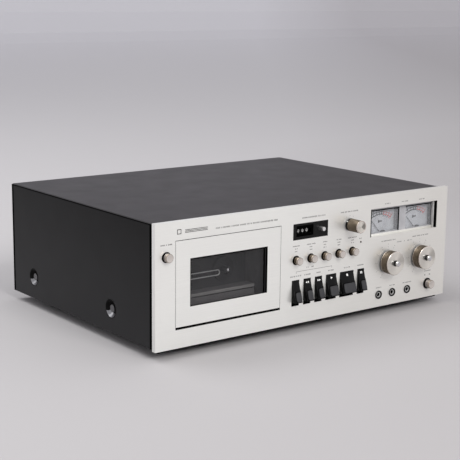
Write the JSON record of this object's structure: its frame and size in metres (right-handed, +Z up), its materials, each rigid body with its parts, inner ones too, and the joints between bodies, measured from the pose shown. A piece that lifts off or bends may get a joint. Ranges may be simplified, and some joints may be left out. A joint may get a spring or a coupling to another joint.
{
  "type": "cassette deck",
  "caption": "Front-loading stereo cassette deck with an aluminium panel, a hinged window door, piano keys, push buttons, knobs, meters and a tape transport inside.",
  "frame": {"origin": "centre of the deck's footprint, on the surface that its feet stand on", "axes": "+X to the right along the front panel, +Y from the front panel to the rear, +Z up"},
  "size_m": [0.41, 0.331, 0.139],
  "materials": {
    "panel_aluminium": "brushed, clear anodised",
    "cover_black": "semi-matte black vinyl-coated steel",
    "chassis_black": "matte black steel",
    "zinc_steel": "zinc plated",
    "black_plastic": "fine satin black plastic",
    "grey_plastic": "satin grey plastic",
    "scale_white": "matt white card",
    "smoked_window": "smoked clear acrylic",
    "clear_window": "clear acrylic",
    "knob_champagne": "turned and anodised champagne",
    "button_bronze": "turned and anodised bronze",
    "foot_rubber": "matt black rubber",
    "belt_rubber": "ground black rubber",
    "brass_part": "plain brass",
    "board_brown": "paper laminate",
    "component_black": "moulded component bodies",
    "core_iron": "varnished laminations",
    "polished_steel": "polished steel",
    "reel_white": "pale moulded plastic",
    "needle_black": "matt black"
  },
  "bodies": {
    "chassis": {"front_panel": "panel_aluminium", "sub_panel": "chassis_black", "bottom_plate": "zinc_steel", "rear_panel": "cover_black", "top_cover": "cover_black", "screw_cups": "cover_black", "screws": "polished_steel", "feet": "foot_rubber", "mechanism_plate": "chassis_black", "pivot_pins": "polished_steel", "key_bracket": "zinc_steel", "motor": "zinc_steel", "belts": "belt_rubber", "controls": "component_black", "front_jacks": "black_plastic", "counter_housing": "black_plastic", "meter_frame": "grey_plastic", "meter_units": "scale_white", "meter_glass": "clear_window", "transformer": "core_iron", "main_board": "board_brown", "board_parts": "component_black", "phono_sockets": "brass_part", "mains_gland": "black_plastic"},
    "door": {"door_panel": "panel_aluminium", "door_window": "smoked_window", "cassette_holder": "black_plastic", "holder_springs": "polished_steel"},
    "eject_button": {"eject_button": "button_bronze"},
    "record_key": {"record_key": "black_plastic"},
    "rewind_key": {"rewind_key": "black_plastic"},
    "fast_forward_key": {"fast_forward_key": "black_plastic"},
    "play_key": {"play_key": "black_plastic"},
    "stop_key": {"stop_key": "black_plastic"},
    "pause_key": {"pause_key": "black_plastic"},
    "memory_button": {"memory_button": "button_bronze"},
    "timer_button": {"timer_button": "button_bronze"},
    "noise_filter_button": {"noise_filter_button": "button_bronze"},
    "bias_button": {"bias_button": "button_bronze"},
    "input_button": {"input_button": "button_bronze"},
    "power_button": {"power_button": "button_bronze"},
    "output_knob": {"output_knob": "knob_champagne"},
    "mic_level_knob": {"mic_level_knob": "knob_champagne"},
    "mic_trim_knob": {"mic_trim_knob": "knob_champagne"},
    "line_level_knob": {"line_level_knob": "knob_champagne"},
    "line_trim_knob": {"line_trim_knob": "knob_champagne"},
    "counter_wheel_hundreds": {"counter_wheel_hundreds": "black_plastic"},
    "counter_wheel_tens": {"counter_wheel_tens": "black_plastic"},
    "counter_wheel_units": {"counter_wheel_units": "black_plastic"},
    "reset_button": {"reset_button": "polished_steel"},
    "meter_needle_left": {"meter_needle_left": "needle_black"},
    "meter_needle_right": {"meter_needle_right": "needle_black"},
    "supply_reel": {"supply_reel": "reel_white"},
    "takeup_reel": {"takeup_reel": "reel_white"},
    "flywheel": {"flywheel": "zinc_steel"},
    "motor_pulley": {"motor_pulley": "brass_part"},
    "pinch_arm": {"pinch_arm": "zinc_steel"},
    "pinch_roller": {"pinch_roller": "belt_rubber"},
    "head_bridge": {"head_bridge": "zinc_steel", "tape_heads": "polished_steel"}
  },
  "joints": [
    {"name": "door_hinge", "type": "hinge", "parent": "chassis", "child": "door", "pos_m": [-0.11375, -0.143, 0.0334], "axis": [1, 0, 0], "range_deg": [0, 30]},
    {"name": "eject_press", "type": "slide", "parent": "chassis", "child": "eject_button", "axis": [0, 1, 0], "range_m": [0, 0.0035], "stiffness_N_per_m": 150},
    {"name": "record_press", "type": "hinge", "parent": "chassis", "child": "record_key", "pos_m": [-0.0255, -0.1325, 0.0615], "axis": [1, 0, 0], "range_deg": [0, 8], "stiffness_Nm_per_rad": 0.2},
    {"name": "rewind_press", "type": "hinge", "parent": "chassis", "child": "rewind_key", "pos_m": [-0.0092, -0.1325, 0.0615], "axis": [1, 0, 0], "range_deg": [0, 8], "stiffness_Nm_per_rad": 0.2},
    {"name": "fast_forward_press", "type": "hinge", "parent": "chassis", "child": "fast_forward_key", "pos_m": [0.0069, -0.1325, 0.0615], "axis": [1, 0, 0], "range_deg": [0, 8], "stiffness_Nm_per_rad": 0.2},
    {"name": "play_press", "type": "hinge", "parent": "chassis", "child": "play_key", "pos_m": [0.0253, -0.1325, 0.0615], "axis": [1, 0, 0], "range_deg": [0, 8], "stiffness_Nm_per_rad": 0.2},
    {"name": "stop_press", "type": "hinge", "parent": "chassis", "child": "stop_key", "pos_m": [0.0484, -0.1325, 0.0615], "axis": [1, 0, 0], "range_deg": [0, 8], "stiffness_Nm_per_rad": 0.2},
    {"name": "pause_press", "type": "hinge", "parent": "chassis", "child": "pause_key", "pos_m": [0.0695, -0.1325, 0.0615], "axis": [1, 0, 0], "range_deg": [0, 8], "stiffness_Nm_per_rad": 0.2},
    {"name": "memory_press", "type": "slide", "parent": "chassis", "child": "memory_button", "axis": [0, 1, 0], "range_m": [0, 0.0035], "stiffness_N_per_m": 150},
    {"name": "timer_press", "type": "slide", "parent": "chassis", "child": "timer_button", "axis": [0, 1, 0], "range_m": [0, 0.0035], "stiffness_N_per_m": 150},
    {"name": "noise_filter_press", "type": "slide", "parent": "chassis", "child": "noise_filter_button", "axis": [0, 1, 0], "range_m": [0, 0.0035], "stiffness_N_per_m": 150},
    {"name": "bias_press", "type": "slide", "parent": "chassis", "child": "bias_button", "axis": [0, 1, 0], "range_m": [0, 0.0035], "stiffness_N_per_m": 150},
    {"name": "input_press", "type": "slide", "parent": "chassis", "child": "input_button", "axis": [0, 1, 0], "range_m": [0, 0.0035], "stiffness_N_per_m": 150},
    {"name": "power_press", "type": "slide", "parent": "chassis", "child": "power_button", "axis": [0, 1, 0], "range_m": [0, 0.004], "stiffness_N_per_m": 150},
    {"name": "reset_press", "type": "slide", "parent": "chassis", "child": "reset_button", "axis": [0, 1, 0], "range_m": [0, 0.0025], "stiffness_N_per_m": 120},
    {"name": "output_turn", "type": "hinge", "parent": "chassis", "child": "output_knob", "pos_m": [0.0506, -0.1565, 0.1105], "axis": [0, 1, 0], "range_deg": [-150, 150]},
    {"name": "mic_level_turn", "type": "hinge", "parent": "chassis", "child": "mic_level_knob", "pos_m": [0.1113, -0.1525, 0.061], "axis": [0, 1, 0], "range_deg": [0, 300]},
    {"name": "mic_trim_turn", "type": "hinge", "parent": "mic_level_knob", "child": "mic_trim_knob", "pos_m": [0.1113, -0.1605, 0.061], "axis": [0, 1, 0], "range_deg": [-150, 150]},
    {"name": "line_level_turn", "type": "hinge", "parent": "chassis", "child": "line_level_knob", "pos_m": [0.1619, -0.1525, 0.061], "axis": [0, 1, 0], "range_deg": [0, 300]},
    {"name": "line_trim_turn", "type": "hinge", "parent": "line_level_knob", "child": "line_trim_knob", "pos_m": [0.1619, -0.1605, 0.061], "axis": [0, 1, 0], "range_deg": [-150, 150]},
    {"name": "needle_left_swing", "type": "hinge", "parent": "chassis", "child": "meter_needle_left", "pos_m": [0.11, -0.1342, 0.092], "axis": [0, 1, 0], "range_deg": [0, 86], "stiffness_Nm_per_rad": 0.0002},
    {"name": "needle_right_swing", "type": "hinge", "parent": "chassis", "child": "meter_needle_right", "pos_m": [0.1648, -0.1342, 0.092], "axis": [0, 1, 0], "range_deg": [0, 86], "stiffness_Nm_per_rad": 0.0002},
    {"name": "takeup_spin", "type": "hinge", "parent": "chassis", "child": "takeup_reel", "pos_m": [-0.09255, -0.1115, 0.0727], "axis": [0, 1, 0], "continuous": true},
    {"name": "supply_spin", "type": "hinge", "parent": "chassis", "child": "supply_reel", "pos_m": [-0.13505, -0.1115, 0.0727], "axis": [0, 1, 0], "continuous": true},
    {"name": "flywheel_spin", "type": "hinge", "parent": "chassis", "child": "flywheel", "pos_m": [-0.088, -0.0925, 0.047], "axis": [0, 1, 0], "continuous": true},
    {"name": "motor_spin", "type": "hinge", "parent": "chassis", "child": "motor_pulley", "pos_m": [-0.15, -0.0925, 0.102], "axis": [0, 1, 0], "continuous": true},
    {"name": "head_bridge_lift", "type": "slide", "parent": "chassis", "child": "head_bridge", "axis": [0, 0, 1], "range_m": [0, 0.0036]},
    {"name": "pinch_arm_swing", "type": "hinge", "parent": "chassis", "child": "pinch_arm", "pos_m": [-0.067, -0.1095, 0.03], "axis": [0, 1, 0], "range_deg": [0, 14.1]},
    {"name": "pinch_roller_spin", "type": "hinge", "parent": "pinch_arm", "child": "pinch_roller", "pos_m": [-0.088, -0.1135, 0.0347], "axis": [0, 1, 0], "continuous": true},
    {"name": "counter_hundreds_turn", "type": "hinge", "parent": "chassis", "child": "counter_wheel_hundreds", "pos_m": [-0.0204, -0.1359, 0.11065], "axis": [1, 0, 0], "continuous": true},
    {"name": "counter_tens_turn", "type": "hinge", "parent": "chassis", "child": "counter_wheel_tens", "pos_m": [-0.0146, -0.1359, 0.11065], "axis": [1, 0, 0], "continuous": true},
    {"name": "counter_units_turn", "type": "hinge", "parent": "chassis", "child": "counter_wheel_units", "pos_m": [-0.0088, -0.1359, 0.11065], "axis": [1, 0, 0], "continuous": true}
  ],
  "couplings": [
    {"joint": "counter_units_turn", "follows": "takeup_spin", "ratio": 0.05},
    {"joint": "counter_tens_turn", "follows": "takeup_spin", "ratio": 0.005},
    {"joint": "counter_hundreds_turn", "follows": "takeup_spin", "ratio": 0.0005},
    {"joint": "motor_spin", "follows": "flywheel_spin", "ratio": 5.9},
    {"joint": "pinch_roller_spin", "follows": "flywheel_spin", "ratio": -0.2083},
    {"joint": "play_press", "follows": "head_bridge_lift", "rad_per_m": 38.75},
    {"joint": "pinch_arm_swing", "follows": "head_bridge_lift", "rad_per_m": 68.3}
  ]
}
